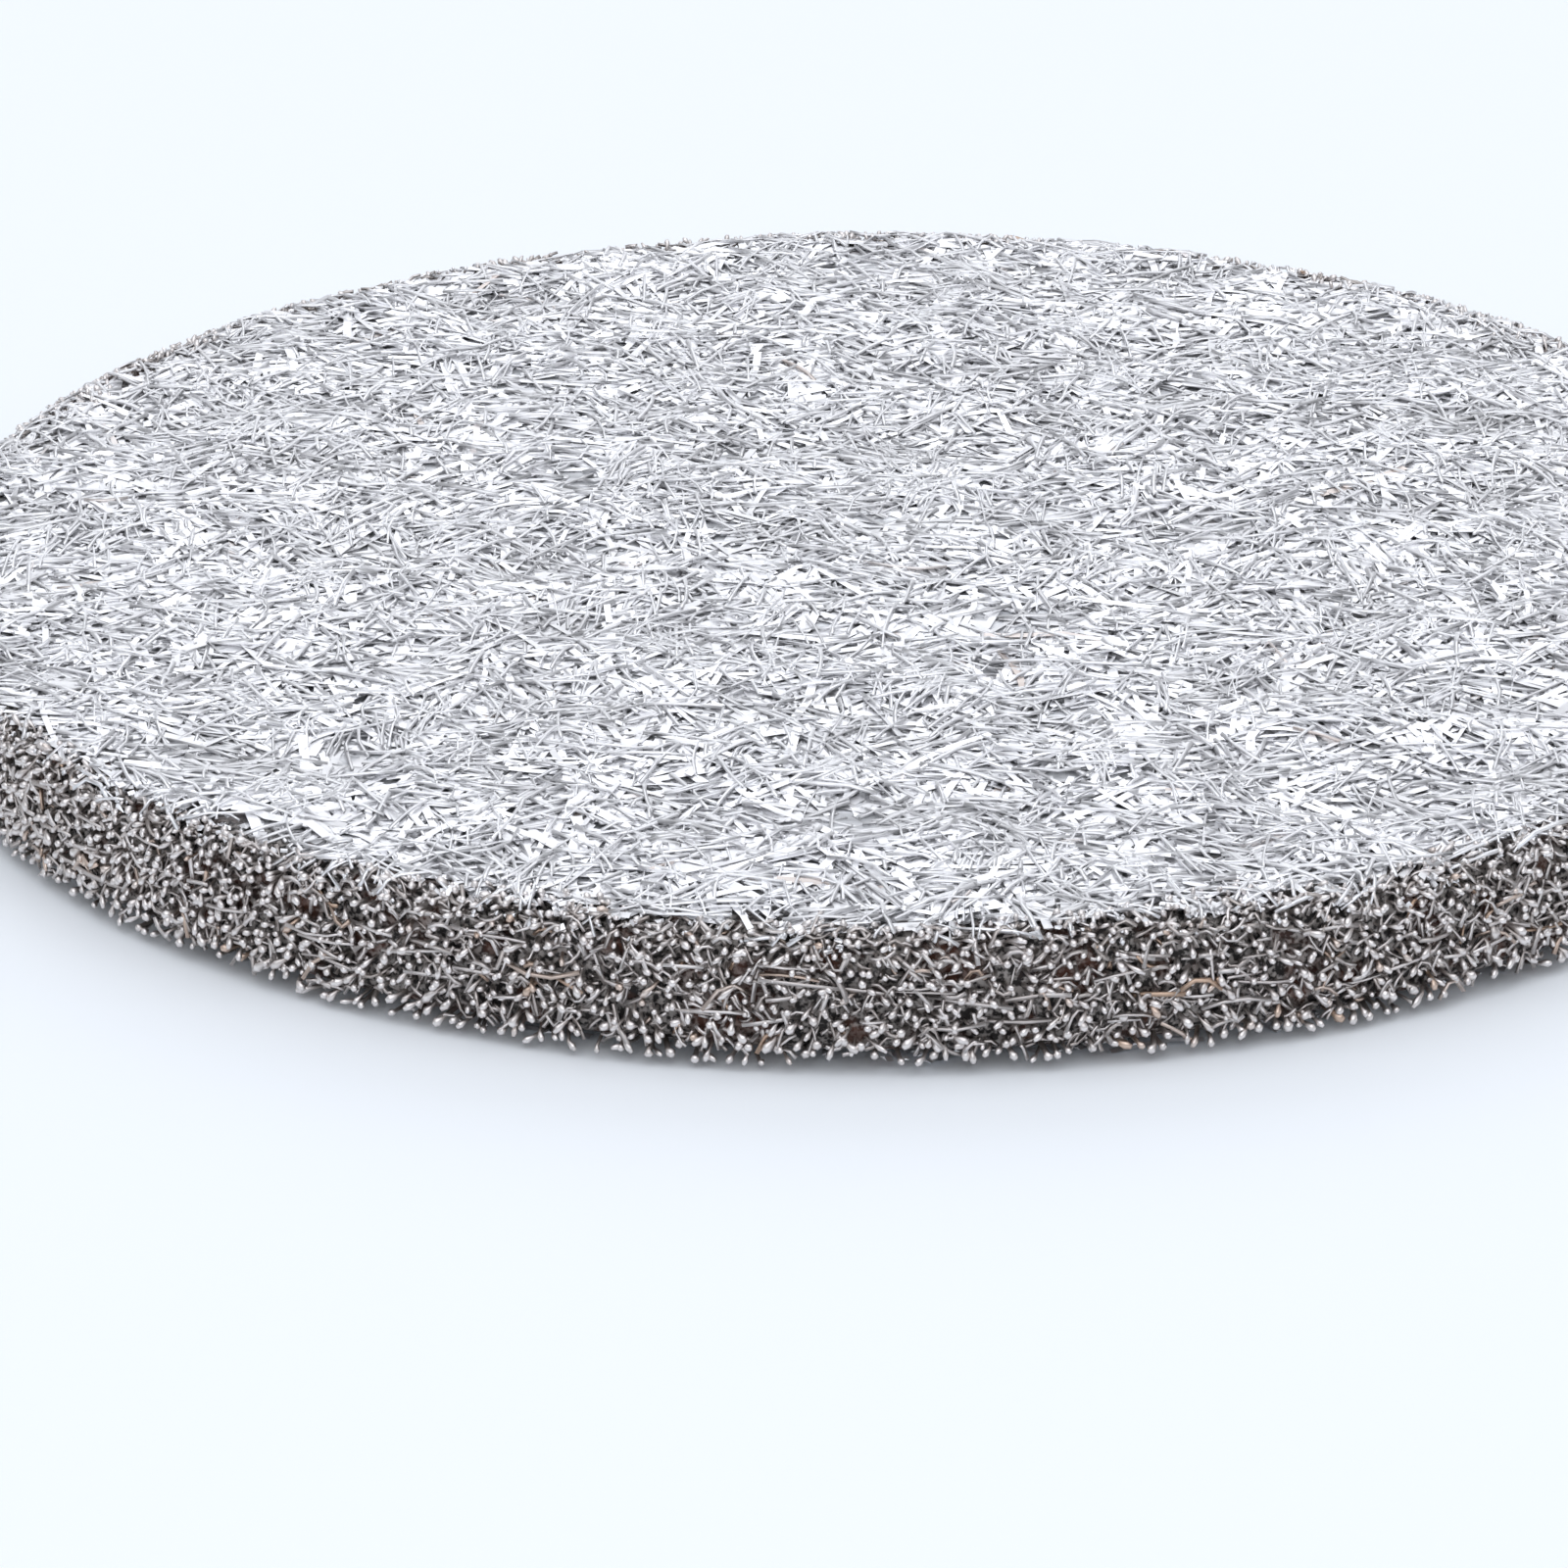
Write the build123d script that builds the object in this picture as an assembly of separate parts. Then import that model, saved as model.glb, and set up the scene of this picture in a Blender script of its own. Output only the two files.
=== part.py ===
from build123d import *
from math import atan2, cos, degrees, pi, radians, sin, sqrt
import os
import random

# Fibre mat disc of a burner: short metal fibres laid flat in random
# directions, pressed, sintered into one piece and punched out as a disc.
# Millimetres, +Z up. The origin is the middle of the underside.

# Driving dimensions
disc_diameter = 40.0
disc_thickness = 3.0
face_depth = 0.15  # the outermost fibres of a face stand this far off the dense felt
wall_depth = 0.2  # and those of the rim stand this far off it
roll_drop = 0.3  # the punch drags the upper edge of the felt down by this much
roll_width = 0.3  # and starts to do so this far in from its wall
roll_knee = 0.3  # share of both where the slope of the rolled edge changes

# Fibres that show on the two faces
face_fibre_length = (4.0, 8.5)
shortest_half = 0.5  # a half that the edge would cut shorter is laid elsewhere
face_fibre_width = (0.26, 0.38)
face_fibre_height = (0.20, 0.28)
upper_fibre_count = 155
lower_fibre_count = 76
crossings_allowed = 1  # a new fibre crosses at most this many that are already laid
most_bend = 16.0  # degrees between the two halves of a bent fibre
bent_share = 0.35

# Fibres that the press plates flatten: one in the middle of each face, the rest in a ring
land_width = 0.42
land_height = 0.42
land_length = 7.0
ring_land_count = 5
ring_land_radius = 14.0

# Fibres along the rim, which the punch shaved from end to end. They set its diameter.
strand_count = 18
strand_length = (4.8, 5.5)
strand_depth = 0.42  # size in from the rim
strand_height = (0.26, 0.34)
strand_shave = 0.04  # taken off the middle of a strand, and more towards both of its ends
lowest_strand = 0.35
highest_strand = 2.2

# Fibres that the punch cut across, which end at the rim
gauge_end_count = 36  # these reach the rim itself
punch_trim = 0.02  # they are laid this much longer, for the punch to trim
short_end_count = 132
end_width = (0.24, 0.36)
end_spacing = 0.52
end_yaw = 42.0  # degrees away from straight outwards
short_end_setback = (0.02, 0.1)
lowest_end = 0.24  # middle of an end above the underside
highest_end = 2.45

seed = 11

# Worked out from these
rim_radius = disc_diameter / 2
felt_radius = rim_radius - wall_depth
felt_low = face_depth
felt_high = disc_thickness - face_depth
root_radius = felt_radius - wall_depth
flat_radius = felt_radius - roll_width
knee_radius = felt_radius - roll_width * roll_knee
knee_drop = roll_drop * roll_knee
# The felt's wall has this many flats. They leave the circle by 0.02 mm, and
# each fibre end then springs from a flat, with straight edges at its root.
wall_flats = 72
draw = random.Random(seed)


def ring_point(radius, angle, height):
    """A point at an angle in radians around the disc's axis."""
    return Vector(radius * cos(angle), radius * sin(angle), height)


def tapered_disc(radius, low, high, inset):
    """A low disc of many flats whose upper rim is set in by inset."""
    outline = RegularPolygon(radius, wall_flats)
    slope = degrees(atan2(inset, high - low))
    return Pos(0, 0, low) * extrude(outline, amount=high - low, taper=slope)


def make_felt():
    """The dense inner felt. Its upper edge falls away in two slopes."""
    shoulder = felt_high - roll_drop
    knee = felt_high - knee_drop
    wall = tapered_disc(felt_radius, felt_low, shoulder, 0)
    steep = tapered_disc(felt_radius, shoulder, knee, felt_radius - knee_radius)
    gentle = tapered_disc(knee_radius, knee, felt_high, knee_radius - flat_radius)
    return wall + steep + gentle


def fibre(points, width, height):
    """A fibre of diamond section along a line of points."""
    path = Polyline(*points)
    side = Vector(0, 0, 1).cross(path % 0)
    start = Plane(origin=points[0], x_dir=side, z_dir=path % 0)
    section = Polygon(
        (width / 2, 0), (0, height / 2), (-width / 2, 0), (0, -height / 2), align=None
    )
    return sweep(start * section, path=path, transition=Transition.RIGHT)


def reach(start, heading, radius):
    """How far a line from start runs before it leaves a circle about the axis."""
    along = start.X * cos(heading) + start.Y * sin(heading)
    aside = start.X * sin(heading) - start.Y * cos(heading)
    return sqrt(radius**2 - aside**2) - along


def half_fibre(middle, heading, length, rolled):
    """Points of a fibre from its middle outwards. At a rolled edge it bends over it."""
    ahead = Vector(cos(heading), sin(heading), 0)
    edge = flat_radius if rolled else felt_radius
    distance = reach(middle, heading, edge)
    if length < distance:
        return [middle + ahead * length]
    points = [middle + ahead * distance]
    if rolled:
        to_knee = reach(middle, heading, knee_radius)
        to_wall = reach(middle, heading, felt_radius)
        points.append(middle + ahead * to_knee - Vector(0, 0, knee_drop))
        points.append(middle + ahead * to_wall - Vector(0, 0, roll_drop))
    return points


def turned_side(a, b, c):
    """Positive when a, b, c turn to the left in plan."""
    return (b.X - a.X) * (c.Y - a.Y) - (b.Y - a.Y) * (c.X - a.X)


def crosses(first, second):
    """Whether two straight lines cross each other in plan."""
    a, b = first
    c, d = second
    split_by_first = turned_side(a, b, c) * turned_side(a, b, d) < 0
    return split_by_first and turned_side(c, d, a) * turned_side(c, d, b) < 0


def land_lines(level):
    """Lines of the fibres that a press plate flattens."""
    turns = [2 * pi * n / ring_land_count for n in range(ring_land_count)]
    middles = [Vector(0, 0, level)] + [ring_point(ring_land_radius, turn, level) for turn in turns]
    halves = [ring_point(land_length / 2, draw.uniform(0, pi), 0) for _ in middles]
    return [[middle - half, middle + half] for middle, half in zip(middles, halves)]


def lay_face(count, level, rolled):
    """Fibres in random directions over one face, few of them crossing."""
    lines = land_lines(level)
    laid = [fibre(line, land_width, land_height) for line in lines]
    while len(laid) < count:
        length = draw.uniform(*face_fibre_length)
        heading = draw.uniform(0, 2 * pi)
        bend = radians(draw.uniform(-most_bend, most_bend)) if draw.random() < bent_share else 0
        middle = ring_point(flat_radius * sqrt(draw.random()), draw.uniform(0, 2 * pi), level)
        back = half_fibre(middle, heading + pi, length / 2, rolled)
        front = half_fibre(middle, heading + bend, length / 2, rolled)
        line = [back[0], front[0]]
        if min((point - middle).length for point in line) < shortest_half:
            continue
        if sum(crosses(line, other) for other in lines) > crossings_allowed:
            continue
        lines.append(line)
        points = back[::-1] + ([middle] if bend else []) + front
        laid.append(fibre(points, draw.uniform(*face_fibre_width), draw.uniform(*face_fibre_height)))
    return laid


def rim_end(angle, height, radius):
    """One cut fibre, from its end on the rim slantwise back into the felt."""
    width = draw.uniform(*end_width)
    yaw = radians(draw.uniform(-end_yaw, end_yaw))
    cut = Plane(origin=ring_point(radius, angle, height), z_dir=ring_point(1, angle, 0))
    section = cut * Rectangle(width, width, rotation=draw.uniform(0, 90))
    length = (radius - root_radius) / cos(yaw)
    return extrude(section, amount=length, dir=-ring_point(1, angle + yaw, 0))


def is_clear(angle, height, taken):
    """Whether an end fits at a spot on the wall, beside what is laid there."""
    for other_angle, other_height, half_length, half_height in taken:
        arc = rim_radius * abs((angle - other_angle + pi) % (2 * pi) - pi)
        rise = abs(height - other_height)
        if arc < half_length + end_spacing / 2 and rise < half_height + end_spacing / 2:
            return False
    return True


def lay_strands():
    """Fibres along the wall, one after the other round it, and the spots that they take."""
    strands = []
    taken = []
    for n in range(strand_count):
        middle = 2 * pi * (n + 0.5) / strand_count
        height = draw.uniform(lowest_strand, highest_strand)
        length = draw.uniform(*strand_length)
        half_turn = length / 2 / rim_radius
        radius = (rim_radius + strand_shave - strand_depth / 2) / cos(half_turn)
        line = [ring_point(radius, middle + side * half_turn, height) for side in (-1, 1)]
        strands.append(fibre(line, strand_depth, draw.uniform(*strand_height)))
        taken.append((middle, height, length / 2, max(strand_height) / 2))
    return strands, taken


def lay_rim():
    """Strands and fibre ends all round the rim, evenly spread but in no order."""
    laid, taken = lay_strands()
    gauge_angles = [2 * pi * n / gauge_end_count for n in range(gauge_end_count)]
    ends_left = gauge_end_count + short_end_count
    while ends_left:
        is_gauge = bool(gauge_angles)
        angle = gauge_angles[-1] if is_gauge else draw.uniform(0, 2 * pi)
        height = draw.uniform(lowest_end, highest_end)
        if not is_clear(angle, height, taken):
            continue
        overhang = punch_trim if is_gauge else -draw.uniform(*short_end_setback)
        laid.append(rim_end(angle, height, rim_radius + overhang))
        taken.append((angle, height, end_spacing / 2, end_spacing / 2))
        gauge_angles = gauge_angles[:-1]
        ends_left -= 1
    return laid


fibres = (
    lay_face(upper_fibre_count, felt_high, rolled=True)
    + lay_face(lower_fibre_count, felt_low, rolled=False)
    + lay_rim()
)
# The press plates and the punch trim the mat to its size
mat = make_felt() + fibres
envelope = Pos(0, 0, disc_thickness / 2) * Cylinder(rim_radius, disc_thickness)
fibre_disc = mat & envelope

os.makedirs("parts", exist_ok=True)
export_step(fibre_disc, "parts/fibre_disc.step")
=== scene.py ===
# %% [markdown]
# # A burner mesh screen of metal fibre felt
# The object is a punched disc of metal fibre felt, as small burners use it to
# spread fuel and flame. Short shaved fibres are laid flat in random
# directions, pressed, sintered where they touch, and punched out as a disc.
# In this lesson the mat is built as what it is: about forty thousand single
# fibres, each a thin tube, laid in layers on a dense felt.
#
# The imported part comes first. It is the fixed frame, and every size below is
# worked out from it. Blender works in metres, and the fibres are easier to
# think of in millimetres, so the shapes are computed in mm and scaled last.

# %% Load the frame
from math import cos, pi, radians, sin

import bpy
import numpy as np
from mathutils import Matrix, Vector


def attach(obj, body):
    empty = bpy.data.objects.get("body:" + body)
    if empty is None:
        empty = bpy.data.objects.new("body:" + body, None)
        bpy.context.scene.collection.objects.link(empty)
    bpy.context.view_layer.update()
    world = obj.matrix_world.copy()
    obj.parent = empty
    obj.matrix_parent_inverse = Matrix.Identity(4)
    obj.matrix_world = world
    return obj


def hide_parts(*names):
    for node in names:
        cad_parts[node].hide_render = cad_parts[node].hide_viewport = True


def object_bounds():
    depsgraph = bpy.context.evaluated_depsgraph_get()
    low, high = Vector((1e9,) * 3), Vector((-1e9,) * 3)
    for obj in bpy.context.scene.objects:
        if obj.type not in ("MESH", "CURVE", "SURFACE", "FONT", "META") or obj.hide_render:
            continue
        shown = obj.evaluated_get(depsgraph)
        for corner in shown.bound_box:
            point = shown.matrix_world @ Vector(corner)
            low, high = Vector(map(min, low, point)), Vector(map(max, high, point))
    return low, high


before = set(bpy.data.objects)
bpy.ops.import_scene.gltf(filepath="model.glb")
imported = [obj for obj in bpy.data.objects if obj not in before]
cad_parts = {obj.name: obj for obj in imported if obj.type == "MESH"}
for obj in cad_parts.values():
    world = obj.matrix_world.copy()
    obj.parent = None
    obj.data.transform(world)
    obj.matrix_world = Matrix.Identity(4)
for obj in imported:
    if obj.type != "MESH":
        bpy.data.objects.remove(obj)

MM = 0.001
cad_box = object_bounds()
low, high = (np.array(corner) / MM for corner in cad_box)
rim_radius = (high[0] - low[0]) / 2
thickness = high[2] - low[2]
print("disc", round(2 * rim_radius, 2), "mm across,", round(thickness, 2), "mm thick")

# %% [markdown]
# ## The camera
# The photograph looks down on the disc from a low angle with a long lens. Its
# place was found by fitting the arcs that the lower edge in front and the
# rounded upper edge behind draw in the picture. The disc runs out of the
# picture on both sides, and the camera pans a little to the left of its middle.
#
# The photograph was taken with the lens wide open, and only the front of the
# rim is sharp. Here the depth of field stays off, and all of the disc is, in
# this view and in all others.

# %% Set the camera
camera_distance = 155.5  # mm from the middle of the underside
camera_elevation = radians(22.13)
field_of_view = radians(12.0)
pan = radians(0.73)
tilt = radians(-0.89)
roll = radians(-0.25)

camera = bpy.data.objects.new("camera", bpy.data.cameras.new("camera"))
bpy.context.scene.collection.objects.link(camera)
bpy.context.scene.camera = camera
camera.data.angle = field_of_view
camera.data.clip_start = 0.01
place = Vector((0, -cos(camera_elevation), sin(camera_elevation))) * camera_distance * MM
level_aim = (-place).to_track_quat("-Z", "Y").to_matrix().to_4x4()
pan_and_tilt = Matrix.Rotation(pan, 4, "Y") @ Matrix.Rotation(tilt, 4, "X")
small_turns = pan_and_tilt @ Matrix.Rotation(-roll, 4, "Z")
camera.matrix_world = Matrix.Translation(place) @ level_aim @ small_turns
print("camera", camera_distance, "mm away,", round(camera.data.lens, 1), "mm lens")

# %% [markdown]
# ## Helpers for colours and nodes
# Colours are written as sRGB hex, the way a colour picker shows them, and one
# function turns them to the linear values that the shaders work in. One more
# function adds a node with its settings and its links, so that each material
# reads as a list of what it is made of.

# %% Colour and node helpers
def linear(hex_colour):
    """sRGB hex to linear RGBA: (c/12.92) below 0.04045, ((c+0.055)/1.055)**2.4 above."""
    c = np.array([int(hex_colour[i:i + 2], 16) / 255 for i in (1, 3, 5)])
    return (*np.where(c < 0.04045, c / 12.92, ((c + 0.055) / 1.055) ** 2.4), 1.0)


def add(tree, kind, settings=None, **inputs):
    """Adds a node, sets its properties, and fills each input with a value or a link."""
    node = tree.nodes.new(kind)
    for key, value in (settings or {}).items():
        setattr(node, key, value)
    for key, value in inputs.items():
        number = key[1:]
        socket = node.inputs[int(number) if number.isdigit() else key.replace("_", " ")]
        if isinstance(value, bpy.types.NodeSocket):
            tree.links.new(value, socket)
        else:
            socket.default_value = value
    return node


def new_material(name):
    """An empty node material and its tree."""
    material = bpy.data.materials.new(name)
    material.use_nodes = True
    material.node_tree.nodes.clear()
    return material, material.node_tree


# %% [markdown]
# ## Floor and light
# The disc lies on a plain white table. A very large soft lamp hangs above it,
# a smaller one behind it and the smallest in front. The room is grey, lighter
# behind the disc than where the photographer stands, and a low white wall
# round the table closes the view to the horizon. That is why the upper face,
# seen at a low angle, mirrors a light room, while the rim is grey and each of
# its fibre ends has one white core, the picture of the front lamp.

# %% Floor
floor_half = 520.0  # mm, so the table ends where its light begins to fall off
corners = np.array([(-1, -1, 0), (1, -1, 0), (1, 1, 0), (-1, 1, 0)]) * floor_half * MM
floor_mesh = bpy.data.meshes.new("table_top")
floor_mesh.from_pydata(corners.tolist(), [], [(0, 1, 2, 3)])
floor = bpy.data.objects.new("table_top", floor_mesh)
bpy.context.scene.collection.objects.link(floor)

table_paint, tree = new_material("matt_white_table")
paint = add(tree, "ShaderNodeBsdfDiffuse", Color=linear("#F5F9FD"))
add(tree, "ShaderNodeOutputMaterial", Surface=paint.outputs[0])
floor_mesh.materials.append(table_paint)

# %% Lamps
def hang_softbox(name, elevation, distance, size, radiance):
    """A square soft lamp that points at the disc. Power = radiance * pi * area."""
    light = bpy.data.lights.new(name, "AREA")
    light.size = size * MM
    light.color = linear("#F7FAFF")[:3]
    light.energy = radiance * pi * light.size**2
    softbox = bpy.data.objects.new(name, light)
    bpy.context.scene.collection.objects.link(softbox)
    place = Vector((0, -cos(elevation), sin(elevation))) * distance * MM
    aim = (-place).to_track_quat("-Z", "Y").to_matrix().to_4x4()
    softbox.matrix_world = Matrix.Translation(place) @ aim
    print(name, round(light.energy, 2), "W")


hang_softbox("overhead_softbox", radians(68), 800.0, 1500.0, 1.0)
hang_softbox("back_softbox", radians(145), 800.0, 520.0, 1.1)
hang_softbox("front_softbox", radians(44), 800.0, 320.0, 1.1)

# %% Surroundings
world = bpy.data.worlds.new("studio")
world.use_nodes = True
bpy.context.scene.world = world
tree = world.node_tree
direction = add(tree, "ShaderNodeTexCoord")
axes = add(tree, "ShaderNodeSeparateXYZ", Vector=direction.outputs["Generated"])
brightness = add(
    tree, "ShaderNodeMapRange", {"interpolation_type": "SMOOTHSTEP"},
    Value=axes.outputs["Y"], From_Min=-0.7, From_Max=0.7, To_Min=0.36, To_Max=0.6,
)
# The low wall fades out between 3 and 5 degrees above the table
low_wall = add(
    tree, "ShaderNodeMapRange", {"interpolation_type": "SMOOTHSTEP"},
    Value=axes.outputs["Z"], From_Min=0.06, From_Max=0.09, To_Min=1.0, To_Max=0.0,
)
room = add(
    tree, "ShaderNodeMix", {"data_type": "FLOAT"},
    Factor=low_wall.outputs["Result"], _2=brightness.outputs["Result"], _3=1.0,
)
tree.nodes["Background"].inputs["Color"].default_value = linear("#F8FAFF")
tree.links.new(room.outputs[0], tree.nodes["Background"].inputs["Strength"])
bpy.context.scene.view_settings.view_transform = "Standard"

# %% [markdown]
# ## One mesh from many fibres
# A fibre is a tube: a small ring of corners carried along a line. Blender could
# make each one from a curve with a bevel, but forty thousand such objects are
# slow and can't be cut or bent together. Here all fibres of a layer are one
# array of shape (fibre, ring, corner, xyz), and numpy works out every corner
# at once. Each fibre also carries two numbers that its material reads: its
# tone, how bright it is, and its browning, how far the furnace has tinted it.
# The ends that the punch has cut carry a third, which is 1 on their bare heads.
# (Browning isn't named "heat": that name read as zero in the render.)

# %% Tubes along lines
rng = np.random.default_rng(4755)


def unit(vectors):
    """Vectors divided by their own length."""
    return vectors / np.linalg.norm(vectors, axis=-1, keepdims=True)


def tube_corners(lines, half_width, up, sides, flatness=1.0):
    """Ring corners around lines: point + half_width * (cos(a) * side + flatness * sin(a) * over).

    A round wire starts its corners anywhere. A ribbon has its first corner below, and a flat side up.
    """
    along = unit(np.gradient(lines, axis=1))
    side = unit(np.cross(up, along))
    over = np.cross(along, side)
    start = rng.uniform(0, 2 * pi, (len(lines), 1)) if flatness == 1 else -pi / 2
    a = start + 2 * pi * np.arange(sides) / sides * np.ones((len(lines), 1))
    a = a[:, None, :, None]
    ring = np.cos(a) * side[:, :, None] + flatness * np.sin(a) * over[:, :, None]
    return lines[:, :, None] + half_width[:, :, None, None] * ring


def tube_faces(count, rings, sides):
    """Quads between neighbouring rings, and one flat face that closes each end."""
    first = np.arange(count)[:, None, None] * rings * sides
    ring = np.arange(rings - 1)[None, :, None] * sides
    corner = np.arange(sides)
    here = first + ring + corner
    beside = first + ring + (corner + 1) % sides
    quads = np.stack([here, beside, beside + sides, here + sides], -1).reshape(-1, 4)
    start_caps = first[:, 0] + corner[::-1]
    end_caps = first[:, 0] + (rings - 1) * sides + corner
    return quads, np.concatenate([start_caps, end_caps])


def make_piece(name, corners, face_groups, material, attributes, smooth=True):
    """A mesh object from corners in mm and groups of faces with equal corner counts."""
    mesh = bpy.data.meshes.new(name)
    corners = corners.reshape(-1, 3)
    mesh.vertices.add(len(corners))
    mesh.vertices.foreach_set("co", (corners * MM).ravel())
    sizes = np.concatenate([np.full(len(group), group.shape[1]) for group in face_groups])
    mesh.loops.add(int(sizes.sum()))
    mesh.loops.foreach_set("vertex_index", np.concatenate([group.ravel() for group in face_groups]))
    mesh.polygons.add(len(sizes))
    mesh.polygons.foreach_set("loop_start", np.cumsum(sizes) - sizes)
    mesh.polygons.foreach_set("use_smooth", np.full(len(sizes), smooth))
    mesh.update(calc_edges=True)
    for key, values in attributes.items():
        layer = mesh.attributes.new(key, "FLOAT", "POINT")
        layer.data.foreach_set("value", np.broadcast_to(values, len(corners)).astype(np.float32))
    mesh.materials.append(material)
    piece = bpy.data.objects.new(name, mesh)
    bpy.context.scene.collection.objects.link(piece)
    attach(piece, "root")
    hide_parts("fibre_disc")
    print(name, int((sizes - 2).sum()), "triangles")


# %% [markdown]
# ## Laying a face
# Each fibre starts as a line in plan. Its heading turns evenly along its
# length, which bows it, and some have a kink. A quarter of them lie in bundles,
# side by side as they came off the foil, and those catch the light together.
# The line is then cut where it leaves the disc, and draped: on the flat it
# keeps its depth below the face, and past the edge it follows the quarter
# round that the punch rolled, and then the wall.

# %% Fibre lines in plan
fine_steps = 41
bundle_size = 7  # fibres that came off the foil side by side
bundle_every = 4  # one group of fibres in this many is such a bundle
bundle_width = 0.35  # mm
bundle_stray = 0.12  # radians between the headings in a bundle
bow_spread = 0.18  # radians by which a fibre turns in each mm
kinked_share = 0.25
kink_spread = 0.7  # radians
kink_places = (-0.3, 0.3)  # share of the length, from its middle
kink_scale = 0.12  # mm, how fast a kink turns


def between(limits, shape):
    """Random numbers between two limits."""
    return rng.uniform(*limits, shape)


def plan_lines(count, length_range, points, edge_range):
    """Lines cut to the disc. Heading = start + bow * s + a kink past its place; x, y = running sum."""
    middle_radius = (rim_radius + edge_range[1]) * np.sqrt(rng.random(count))
    around = between((0, 2 * pi), count)
    middle = np.stack([np.cos(around), np.sin(around)], -1) * middle_radius[:, None]
    # In a bundle the others take the leader's place and heading, and stray a little
    start = between((0, 2 * pi), (count, 1))
    leader = np.arange(count) // bundle_size * bundle_size
    is_bundled = (leader // bundle_size % bundle_every == 0)[:, None]
    middle = np.where(is_bundled, middle[leader] + rng.normal(0, bundle_width, (count, 2)), middle)
    start = np.where(is_bundled, start[leader] + rng.normal(0, bundle_stray, (count, 1)), start)
    length = between(length_range, count)
    s = np.linspace(-0.5, 0.5, fine_steps) * length[:, None]
    bow = rng.normal(0, bow_spread, (count, 1))
    is_kinked = rng.random((count, 1)) < kinked_share
    kink = np.where(is_kinked, rng.normal(0, kink_spread, (count, 1)), 0)
    kink_place = between(kink_places, (count, 1)) * length[:, None]
    heading = start + bow * s + kink / (1 + np.exp((kink_place - s) / kink_scale))
    step = np.stack([np.cos(heading), np.sin(heading)], -1) * (length / (fine_steps - 1))[:, None, None]
    line = np.cumsum(step, axis=1)
    line += (middle - line[:, fine_steps // 2])[:, None]
    outside = np.linalg.norm(line, axis=2) > rim_radius + between(edge_range, (count, 1))
    order = np.arange(fine_steps)
    first = np.where(outside & (order < fine_steps // 2), order, 0).max(axis=1)
    last = np.where(outside & (order > fine_steps // 2), order, fine_steps - 1).min(axis=1)
    at = first[:, None] + (last - first)[:, None] * np.linspace(0, 1, points)
    below = np.clip(at.astype(int), 0, fine_steps - 2)[..., None]
    share = at[..., None] - below
    before, after = (np.take_along_axis(line, below + n, 1) for n in (0, 1))
    return before * (1 - share) + after * share


# %% [markdown]
# The depth isn't the same everywhere. A felt is cloudy, with thin spots and
# thick spots a few millimetres wide, and the fibres sink a little in the thin
# ones. A sum of plane waves in random directions gives such clouds.

# %% Clouds and draping
cloud_waves = 14
cloud_size = 3.2  # mm from one thick spot to the next
cloud_direction = rng.uniform(0, 2 * pi, cloud_waves)
cloud_number = 2 * pi / (cloud_size * rng.uniform(0.6, 1.6, cloud_waves))
cloud_phase = rng.uniform(0, 2 * pi, cloud_waves)


def cloud(plan):
    """Sum of plane waves, sin(k * (x cos d + y sin d) + p), scaled to a spread of about one."""
    across = plan[..., :1] * np.cos(cloud_direction) + plan[..., 1:2] * np.sin(cloud_direction)
    return np.sin(cloud_number * across + cloud_phase).sum(-1) / np.sqrt(cloud_waves / 2)


def drape(plan, depth, roll_radius):
    """Carries plan points over a rolled edge. Turn = distance past the flat / roll, up to a quarter."""
    radius = np.linalg.norm(plan, axis=-1)
    outwards = plan / radius[..., None]
    past = np.maximum(radius - (rim_radius - roll_radius), 0)
    turn = np.minimum(past / roll_radius, pi / 2)
    down = np.maximum(past - roll_radius * pi / 2, 0)
    reach = np.minimum(radius, rim_radius - roll_radius) + (roll_radius - depth) * np.sin(turn)
    height = thickness - roll_radius + (roll_radius - depth) * np.cos(turn) - down
    normal = np.concatenate([outwards * np.sin(turn)[..., None], np.cos(turn)[..., None]], -1)
    return np.concatenate([outwards * reach[..., None], height[..., None]], -1), normal


# %% [markdown]
# ## The metal
# The fibres are an iron-chromium-aluminium alloy, the usual metal for burner
# felt. They are shaved from the edge of a foil roll, so they are flat and
# slightly grained, one to three tenths of a millimetre wide. The furnace leaves
# some of them straw-coloured or brown. A metal has metallic 1 and the default
# IOR, its colour is its reflection, and a roughness between 0.3 and 0.6 gives
# the soft sheen of a grained strip.

# %% Bright fibre
fibre_metal, tree = new_material("sintered_iron_chromium_aluminium_fibre")
tone = add(tree, "ShaderNodeAttribute", {"attribute_name": "tone"})
browning = add(tree, "ShaderNodeAttribute", {"attribute_name": "browning"})
cut = add(tree, "ShaderNodeAttribute", {"attribute_name": "cut"})
on_disc = add(tree, "ShaderNodeTexCoord").outputs["Object"]
# Sinter grain is about 0.02 mm, drawn at 0.06 mm so that it shows
grain = add(tree, "ShaderNodeTexNoise", Vector=on_disc, Scale=1 / (0.06 * MM), Detail=2.0)
# Films of oxide change along a fibre over about half a millimetre
film = add(tree, "ShaderNodeTexNoise", Vector=on_disc, Scale=1 / (0.5 * MM), Detail=1.0)
# Tone is each fibre's own brightness with painted shade in it: fibres in thin spots of the faces and the
# stubs behind the cut heads are made darker
tone_and_painted_shade = add(
    tree, "ShaderNodeMix", {"data_type": "RGBA"},
    Factor=tone.outputs["Fac"], _6=linear("#6A6663"), _7=linear("#FBFBFD"),
)
browned = add(
    tree, "ShaderNodeMix", {"data_type": "RGBA"},
    Factor=browning.outputs["Fac"], _6=tone_and_painted_shade.outputs[2], _7=linear("#C9A88C"),
)
roughness = add(
    tree, "ShaderNodeMapRange",
    Value=film.outputs["Fac"], From_Min=0.3, From_Max=0.7, To_Min=0.32, To_Max=0.56,
)
burnished = add(
    tree, "ShaderNodeMix", {"data_type": "FLOAT"},
    Factor=cut.outputs["Fac"], _2=roughness.outputs["Result"], _3=0.34,
)
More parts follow.
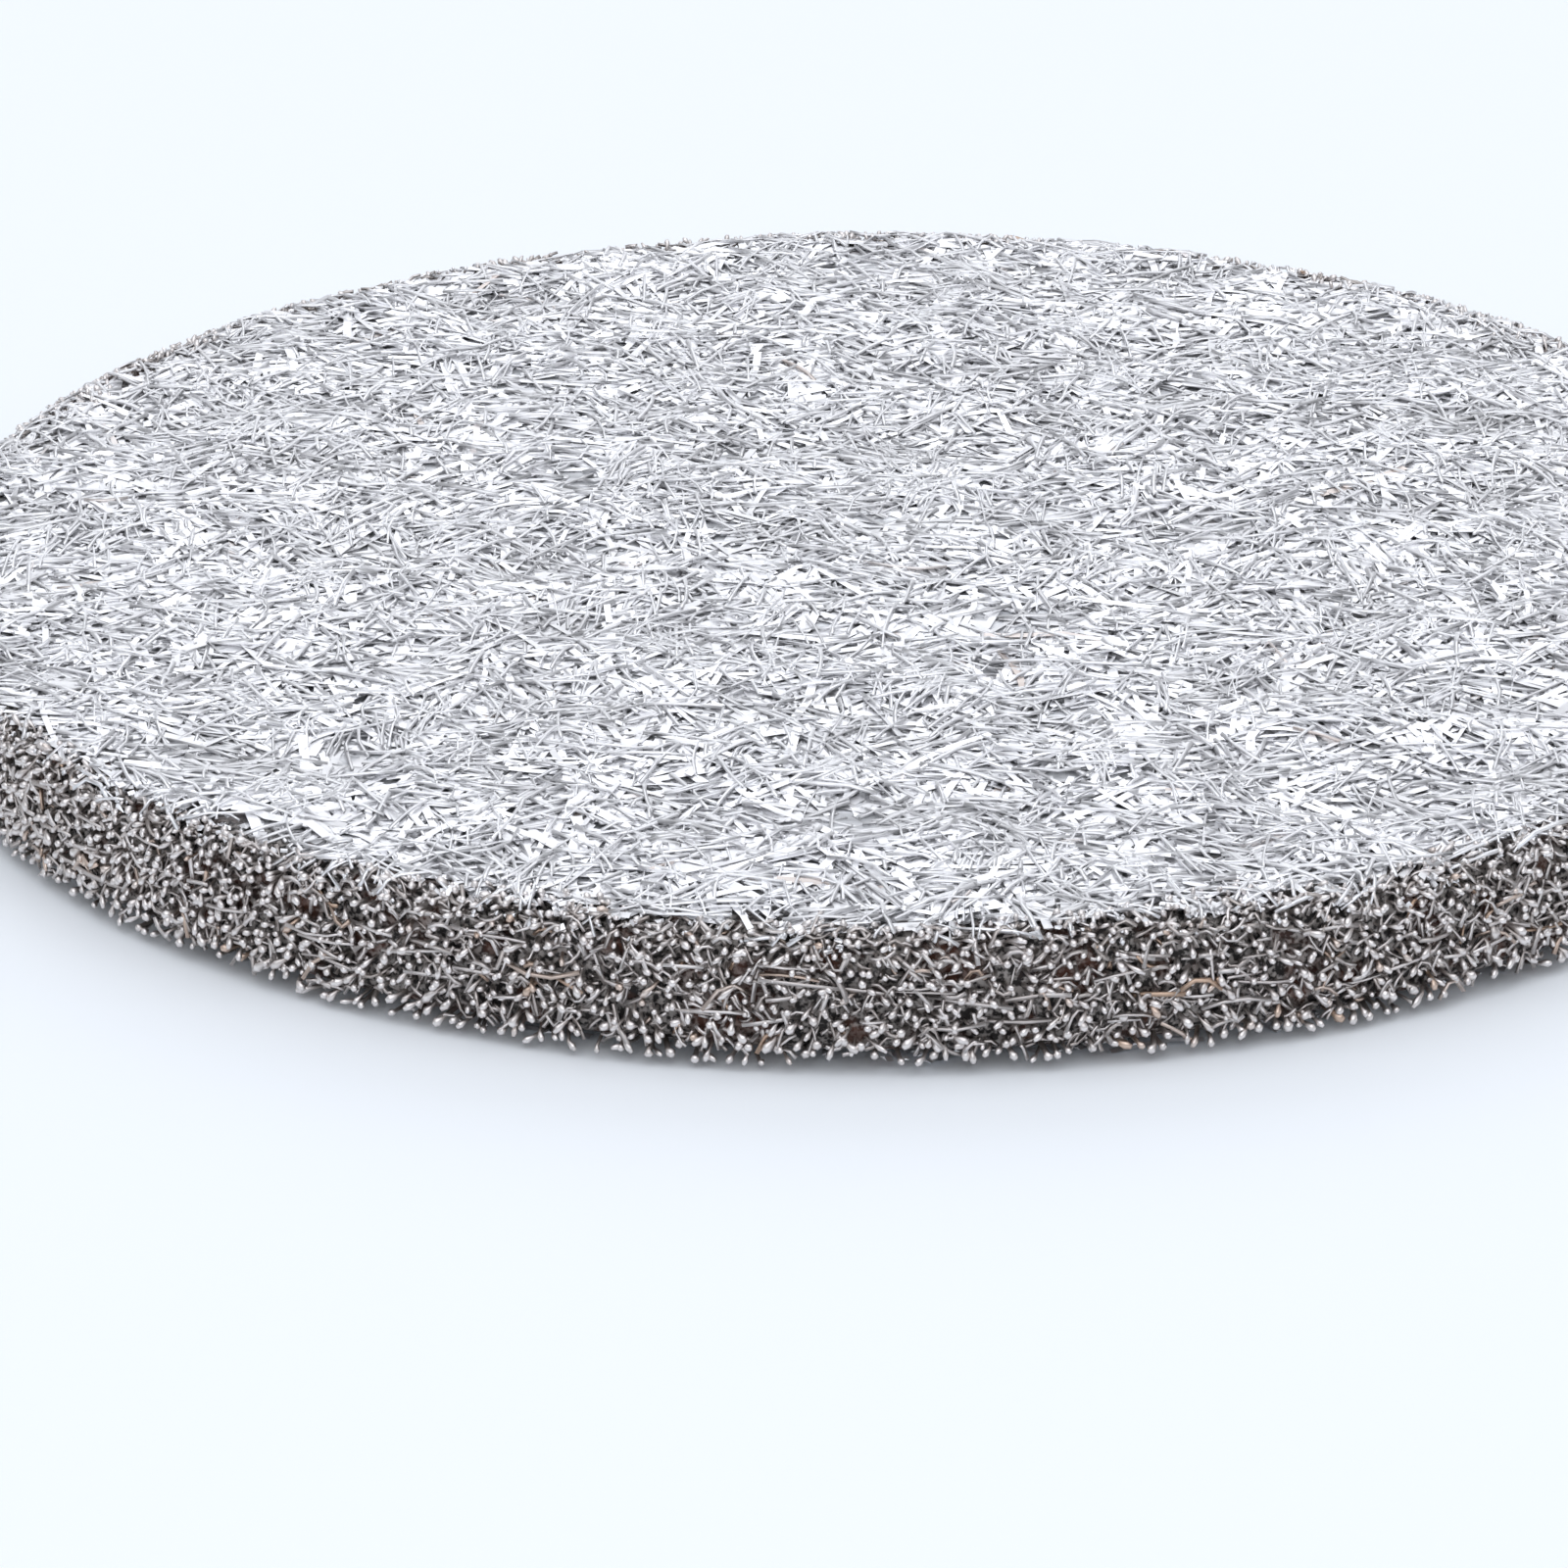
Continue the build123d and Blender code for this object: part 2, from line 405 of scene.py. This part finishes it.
dents = add(tree, "ShaderNodeBump", Height=grain.outputs["Fac"], Strength=0.25, Distance=0.01 * MM)
metal = add(
    tree, "ShaderNodeBsdfPrincipled",
    Base_Color=browned.outputs[2], Metallic=1.0,
    Roughness=burnished.outputs[0], Normal=dents.outputs["Normal"],
)
add(tree, "ShaderNodeOutputMaterial", Surface=metal.outputs[0])

# %% [markdown]
# ## The dense felt
# Below the open layer that one can see into, the fibres close up to one mass.
# Modelling them all would take millions of faces, so the inside is one solid
# of revolution, a little smaller than the disc on every side. Its faces are
# bright pressed fibres. Its wall has painted shade: its colour is made dark for
# the light that hardly gets out of the pores there, and the faces fade into that
# painted shade near the rim. The wall is also brown where the punch has heated
# and smeared the metal.
#
# Stretched noise stands for the fibres that lie in it: one noise for each of
# three directions, and the highest of them wins, as the uppermost fibre does.

# %% Dense felt material
felt_material, tree = new_material("dense_sintered_felt")
on_disc = add(tree, "ShaderNodeTexCoord").outputs["Object"]
bundles = None
for heading in (15, 75, 135):
    stretched = add(
        tree, "ShaderNodeMapping",
        Vector=on_disc, Rotation=(0, 0, radians(heading)), Scale=(0.12, 1, 1),
    )
    # A pressed fibre is 0.15 mm wide, so a light and a dark stripe take 0.3 mm
    laid = add(tree, "ShaderNodeTexNoise", Vector=stretched.outputs[0], Scale=1 / (0.3 * MM), Detail=1.0)
    if bundles is None:
        bundles = laid.outputs["Fac"]
    else:
        highest = add(
            tree, "ShaderNodeMath", {"operation": "MAXIMUM"},
            _0=bundles, _1=laid.outputs["Fac"],
        )
        bundles = highest.outputs[0]
pressed = add(tree, "ShaderNodeValToRGB", Fac=bundles)
pressed.color_ramp.elements[0].position = 0.45
pressed.color_ramp.elements[0].color = linear("#B4B5B8")
pressed.color_ramp.elements[1].position = 0.72
pressed.color_ramp.elements[1].color = linear("#F6F7FA")
# Painted shade: where the pore noise is low the wall is coloured nearly black, for the light that hardly
# gets out of the pores
pores = add(tree, "ShaderNodeTexNoise", Vector=on_disc, Scale=1 / (0.12 * MM), Detail=2.0)
pore_painted_shade = add(tree, "ShaderNodeValToRGB", Fac=pores.outputs["Fac"])
pore_painted_shade.color_ramp.elements[0].position = 0.44
pore_painted_shade.color_ramp.elements[0].color = linear("#282524")
pore_painted_shade.color_ramp.elements[1].position = 0.6
pore_painted_shade.color_ramp.elements[1].color = linear("#A6A09C")
# The punch has left a brown spot every millimetre or so
stains = add(tree, "ShaderNodeTexNoise", Vector=on_disc, Scale=1 / (0.9 * MM), Detail=2.0)
stained = add(
    tree, "ShaderNodeMapRange",
    Value=stains.outputs["Fac"], From_Min=0.52, From_Max=0.66, To_Min=0.0, To_Max=0.6,
)
wall = add(
    tree, "ShaderNodeMix", {"data_type": "RGBA"},
    Factor=stained.outputs["Result"], _6=pore_painted_shade.outputs["Color"], _7=linear("#6A402F"),
)
# The tone attribute is 1 on the bright faces and 0 on the wall with its painted shade
brightness = add(tree, "ShaderNodeAttribute", {"attribute_name": "tone"})
shade = add(
    tree, "ShaderNodeMix", {"data_type": "RGBA"},
    Factor=brightness.outputs["Fac"], _6=wall.outputs[2], _7=pressed.outputs["Color"],
)
relief = add(tree, "ShaderNodeBump", Height=bundles, Strength=0.8, Distance=0.1 * MM)
felt_metal = add(
    tree, "ShaderNodeBsdfPrincipled",
    Base_Color=shade.outputs[2], Metallic=0.6, Roughness=0.6, Normal=relief.outputs["Normal"],
)
add(tree, "ShaderNodeOutputMaterial", Surface=felt_metal.outputs[0])

# %% Dense felt body
wall_depth = 0.32  # the dense felt starts this far inside the rim
face_depth = 0.23
edge_round = 0.6
around_count = 180
face_rings = 24
hub_radius = 1.0  # mm, of the flat that closes the middle of each face
face_radii = np.linspace(hub_radius, rim_radius - wall_depth - edge_round, face_rings)
corner_rings = 5
corner_turn = np.linspace(0, pi / 2, corner_rings)
face_reach = np.concatenate([face_radii, face_radii[-1] + edge_round * np.sin(corner_turn[1:])])
face_fall = np.concatenate([np.zeros(face_rings), edge_round * (1 - np.cos(corner_turn[1:]))])
ring_radius = np.concatenate([face_reach, face_reach[::-1]])
ring_height = np.concatenate([face_depth + face_fall, (thickness - face_depth - face_fall)[::-1]])
around = 2 * pi * np.arange(around_count) / around_count
felt_plan = ring_radius[:, None, None] * np.stack([np.cos(around), np.sin(around)], -1)
felt_height = np.broadcast_to(ring_height[:, None], felt_plan.shape[:2])
felt_corners = np.concatenate([felt_plan, felt_height[..., None]], -1)
# Painted shade: the faces are bright in the middle, and their colour is made darker
# over the last 2 mm before the rim, into the painted shade of the wall
dark_band = 0.7  # mm, as dark as the wall
fade_band = 1.3
unshaded_face_share = np.clip((rim_radius - dark_band - ring_radius) / fade_band, 0, 1)
unshaded_face_share = np.repeat(unshaded_face_share, around_count)
felt_faces = tube_faces(1, len(ring_radius), around_count)
make_piece("dense_felt", felt_corners, felt_faces, felt_material, {"tone": unshaded_face_share})

# %% [markdown]
# ## The faces
# Three layers make the upper face: broad ribbons, narrower ones over them, and
# thin wisps that were laid last. Most ribbons end before the edge that the punch
# rolled over, and some wisps bend down over it. A shaved fibre has a rough
# triangle for its section, so three sides are both true and cheap. A ribbon is
# such a triangle pressed low, with a flat side up and sharp edges. It mirrors
# as one sheet, light or grey by how it leans. A wisp is shaded as round.

# %% Upper fibres
fibre_sides = 3
fibre_points = 4
roll_spread = 0.13  # how far the ribbons lean from lying flat, as a slope
upper_roll = 0.65  # mm, radius of the edge that the punch rolled over
swell = 0.03  # mm, rise and fall of a fibre along its line
swell_turn = (2, 8)  # radians of that wave from end to end
swell_start = (0, 6)
cloud_sink = 0.04  # mm, how much deeper a thin spot lies
face_tone = (0.9, 1.04)
# Painted shade: fibres in a thin spot lie deeper, and their colour is made this much darker
thin_spot_painted_shade = 0.06  # how much darker a thin spot is
face_brown_share = 0.004
face_browning = (0.15, 0.4)


def face_fibres(
    name, count, length_range, depth_range, width_range, edge_range,
    roll_radius=upper_roll, flatness=0.25, mirrored=False,
):
    """One layer of a face, draped, with a slow rise and fall of each fibre along its line."""
    plan = plan_lines(count, length_range, fibre_points, edge_range)
    half_width = between(width_range, (count, 1)) / 2 * np.ones(fibre_points)
    swing = np.linspace(0, 1, fibre_points) * between(swell_turn, (count, 1))
    swing = swing + between(swell_start, (count, 1))
    thin = cloud(plan)
    depth = between(depth_range, (count, 1)) + swell * np.sin(swing) + cloud_sink * (1 + thin)
    lines, normal = drape(plan, np.maximum(depth, half_width * 0.5 + 0.005), roll_radius)
    if mirrored:
        lines = lines * (1, 1, -1) + (0, 0, thickness)
        normal = normal * (1, 1, -1)
    up = normal + rng.normal(0, roll_spread, (count, 1, 3))
    corners = tube_corners(lines, half_width, up, fibre_sides, flatness)
    # Painted shade: a fibre's tone is lowered where it lies in a thin spot
    tone = np.clip(between(face_tone, (count, 1)) - thin_spot_painted_shade * thin, 0, 1).ravel().repeat(fibre_sides)
    is_brown = rng.random(count) < face_brown_share
    browning = np.where(is_brown, between(face_browning, count), 0).repeat(fibre_points * fibre_sides)
    faces = tube_faces(count, fibre_points, fibre_sides)
    attributes = {"tone": tone, "browning": browning}
    make_piece(name, corners, faces, fibre_metal, attributes, smooth=flatness == 1)


face_fibres("upper_fibres", 6600, (1.0, 2.8), (0.13, 0.22), (0.18, 0.3), (-1.5, -0.3))
face_fibres("upper_strands", 8800, (1.0, 3.0), (0.07, 0.15), (0.12, 0.22), (-1.4, -0.2))
face_fibres("upper_wisps", 9600, (0.4, 1.9), (0.02, 0.1), (0.06, 0.11), (-0.8, 0.2), flatness=1)

# %% [markdown]
# The underside can't be seen in the photograph. It is the same felt, pressed
# flat, and its edge is sharp instead of rolled, because there the punch came out.

# %% Lower fibres
lower_roll = 0.12
face_fibres(
    "lower_fibres", 3500, (1.2, 4.0), (0.03, 0.22), (0.15, 0.27), (-1.1, -0.6),
    lower_roll, mirrored=True,
)

# %% [markdown]
# ## The cut rim
# The punch went through the mat from above. It cut every fibre that crossed
# the rim and dragged the cut ends down, so the wall is a field of small bright
# heads on dark pores, about fifteen to a square millimetre. Each end is a stub
# that comes out of the felt, turns down and ends in a smeared head or drop. The
# heads are bare metal. The stubs behind them are made darker the deeper they lie,
# partly for oxide and partly as painted shade in the pores. A
# jittered grid on the unrolled wall keeps them apart without any order.

# %% Cut fibre ends
end_spacing = 0.262
lowest_end = 0.32  # mm from the underside up the wall to the first end, on average
lowest_spread = 0.07
mean_climb = thickness + 0.2  # mm from the underside up the wall and over the roll to the last end
climb_spread = 0.3
root_depth = 0.55  # mm, where a stub starts inside the dense felt
rim_tint = 0.2  # all of the rim is a little browner than the faces
end_sides = 6
end_jitter = (-0.45, 0.45)  # share of the spacing
end_half_width = (0.038, 0.066)  # mm, which head_profile widens at the head
end_droop = (-0.2, 1.3)  # radians below straight outwards
yaw_sine = (-0.8, 0.8)
table_clearance = 0.09  # mm, about how high the lowest heads stay above the table
lower_share = 0.45  # of the thickness, where more of the ends are brown
brown_low, brown_high = 0.05, 0.01  # share of the ends below that height, and above
end_browning = (0.35, 0.75)
straight_up = np.array([0.0, 0.0, 1.0])
behind_crown = np.array([0.3, 0.14, 0.06, 0.0])  # mm along the stub from its crown
head_profile = np.array([0.9, 0.85, 1.6, 0.8])
# Tone along a stub: darker towards the root, partly oxide and partly painted shade; 1 on the bare head
stub_shade_and_head_tone = np.array([0.3, 0.55, 1.0, 1.0])
edge_waves = np.array([3, 7, 11, 19, 29])
lower_phases, upper_phases = between((0, 2 * pi), (2, 5))


def rim_point(turn, depth, climb):
    """A point at a turn round the rim, below its skin, after a climb up the wall and over the roll.

    Past the wall the skin turns by (climb - wall) / roll, up to a quarter, and then runs inwards.
    """
    wall = thickness - upper_roll
    lean = np.clip((climb - wall) / upper_roll, 0, pi / 2)
    inwards = np.maximum(climb - wall - upper_roll * pi / 2, 0)
    reach = rim_radius - upper_roll + (upper_roll - depth) * np.cos(lean) - inwards
    height = np.minimum(climb, wall) + (upper_roll - depth) * np.sin(lean)
    return np.stack([reach * np.cos(turn), reach * np.sin(turn), height], -1)


def edge_climb(turn, mean, spread, phases):
    """Where the field of ends starts or stops: mean + a sum of waves round the rim, sin(n turn + p)."""
    waves = np.sin(edge_waves * turn[..., None] + phases).sum(-1) / np.sqrt(len(edge_waves) / 2)
    return mean + spread * waves


columns = int(2 * pi * rim_radius / end_spacing)
rows = int((mean_climb - lowest_end) / end_spacing) + 1


def cut_ends(name, first_row, last_row):
    """Some rows of the cut ends, as one mesh."""
    count = columns * (last_row - first_row)
    column = np.tile(np.arange(columns), last_row - first_row) + between(end_jitter, count)
    row = np.arange(first_row, last_row).repeat(columns) + between(end_jitter, count)
    turn = column * 2 * pi / columns
    lowest = edge_climb(turn, lowest_end, lowest_spread, lower_phases)
    highest = edge_climb(turn, mean_climb, climb_spread, upper_phases)
    climb = (lowest + (highest - lowest) * row / (rows - 1))[:, None]
    half_width = between(end_half_width, (count, 1)) * (1.1 - 0.25 * climb / thickness)
    droop = between(end_droop, (count, 1)) * np.where(climb < thickness / 2, 1.0, 0.6)
    yaw = np.arcsin(between(yaw_sine, (count, 1)))
    # Crowns lie up to 0.1 mm inside the rim, most of them close to it
    crown_depth = 0.01 + between((0.0, 0.2), (count, 1)) ** 1.5
    behind = behind_crown * between((0.8, 1.7), (count, 1))
    profile = head_profile * between((0.8, 1.1), (count, 1))
    depth = crown_depth + behind * np.cos(droop)
    depth[:, 0] = root_depth
    path = climb + behind * np.sin(droop)
    lift = half_width * head_profile.max() + table_clearance - path.min(axis=1, keepdims=True)
    path += np.maximum(lift, 0)
    lines = rim_point(turn[:, None] + np.tan(yaw) * behind / rim_radius, depth, path)
    corners = tube_corners(lines, half_width * profile, straight_up, end_sides)
    tone = between((0.8, 1.0), (count, 1)) * stub_shade_and_head_tone
    is_low = climb < thickness * lower_share
    is_brown = rng.random((count, 1)) < np.where(is_low, brown_low, brown_high)
    browning = np.where(is_brown, between(end_browning, (count, 1)), rim_tint)
    make_piece(
        name, corners, tube_faces(count, len(behind_crown), end_sides), fibre_metal,
        {
            "tone": tone.ravel().repeat(end_sides),
            "browning": browning.repeat(len(behind_crown) * end_sides),
            "cut": np.tile(stub_shade_and_head_tone == 1, count).repeat(end_sides),
        },
    )


cut_ends("lower_rim_ends", 0, rows // 2)
cut_ends("upper_rim_ends", rows // 2, rows)
print(round(columns * rows / (2 * pi * rim_radius * (mean_climb - lowest_end)), 1), "ends per square mm")

# %% [markdown]
# Between the cut ends lie fibres that run along the wall. Some of them lie
# level halfway up, where the layers of the mat part, and show as long dashes.
# Many more are short, curled and dull, and fill the gaps between the heads with
# a tangle. A few curls are straw-coloured all along.

# %% Fibres along the wall
wall_fibre_points = 4
wall_fibre_sides = 3
wall_half_width = (0.035, 0.055)  # mm
wall_yaw = (-0.5, 0.5)  # radians that a fibre turns into the felt or out of it
wall_browning = (0.4, 0.9)


def wall_fibres(
    name, count, length_range, climb_range, depth_range,
    steepness, curl_spread, tone_range, brown_share,
):
    """Short fibres on the wall: along it by s cos p, up by s sin p + curl s**2, inwards by s sin y."""
    s = np.linspace(-0.5, 0.5, wall_fibre_points) * between(length_range, (count, 1))
    half_width = between(wall_half_width, (count, 1)) * np.ones(wall_fibre_points)
    pitch = between((-steepness, steepness), (count, 1))
    yaw = between(wall_yaw, (count, 1))
    curl = rng.normal(0, curl_spread, (count, 1))
    climb = between(climb_range, (count, 1)) + s * np.sin(pitch) + curl * s**2
    climb = np.maximum(climb, lowest_end - lowest_spread)
    depth = between(depth_range, (count, 1)) + s * np.sin(yaw) + s**2 / (2 * rim_radius)
    depth = np.maximum(depth, half_width + 0.01)
    turn = between((0, 2 * pi), (count, 1)) + s * np.cos(pitch) * np.cos(yaw) / rim_radius
    lines = rim_point(turn, depth, climb)
    corners = tube_corners(lines, half_width, straight_up, wall_fibre_sides)
    ring_corners = wall_fibre_points * wall_fibre_sides
    tone = np.repeat(between(tone_range, count), ring_corners)
    is_brown = rng.random(count) < brown_share
    browning = np.where(is_brown, between(wall_browning, count), rim_tint).repeat(ring_corners)
    faces = tube_faces(count, wall_fibre_points, wall_fibre_sides)
    make_piece(name, corners, faces, fibre_metal, {"tone": tone, "browning": browning})


wall_fibres("rim_strands", 300, (0.5, 1.8), (0.9, 2.2), (0.04, 0.2), 0.12, 0.12, (0.5, 0.95), 0.06)
wall_fibres("rim_tangle", 6600, (0.2, 0.6), (0.4, mean_climb), (0.08, 0.34), 1.3, 2.5, (0.4, 0.95), 0.04)
wall_fibres("straw_coloured_curls", 36, (0.5, 1.0), (0.5, 2.4), (0.02, 0.1), 0.8, 1.8, (0.9, 1.0), 1.0)

# %% Finish
print("cad box", [tuple(round(v / MM, 2) for v in c) for c in cad_box])
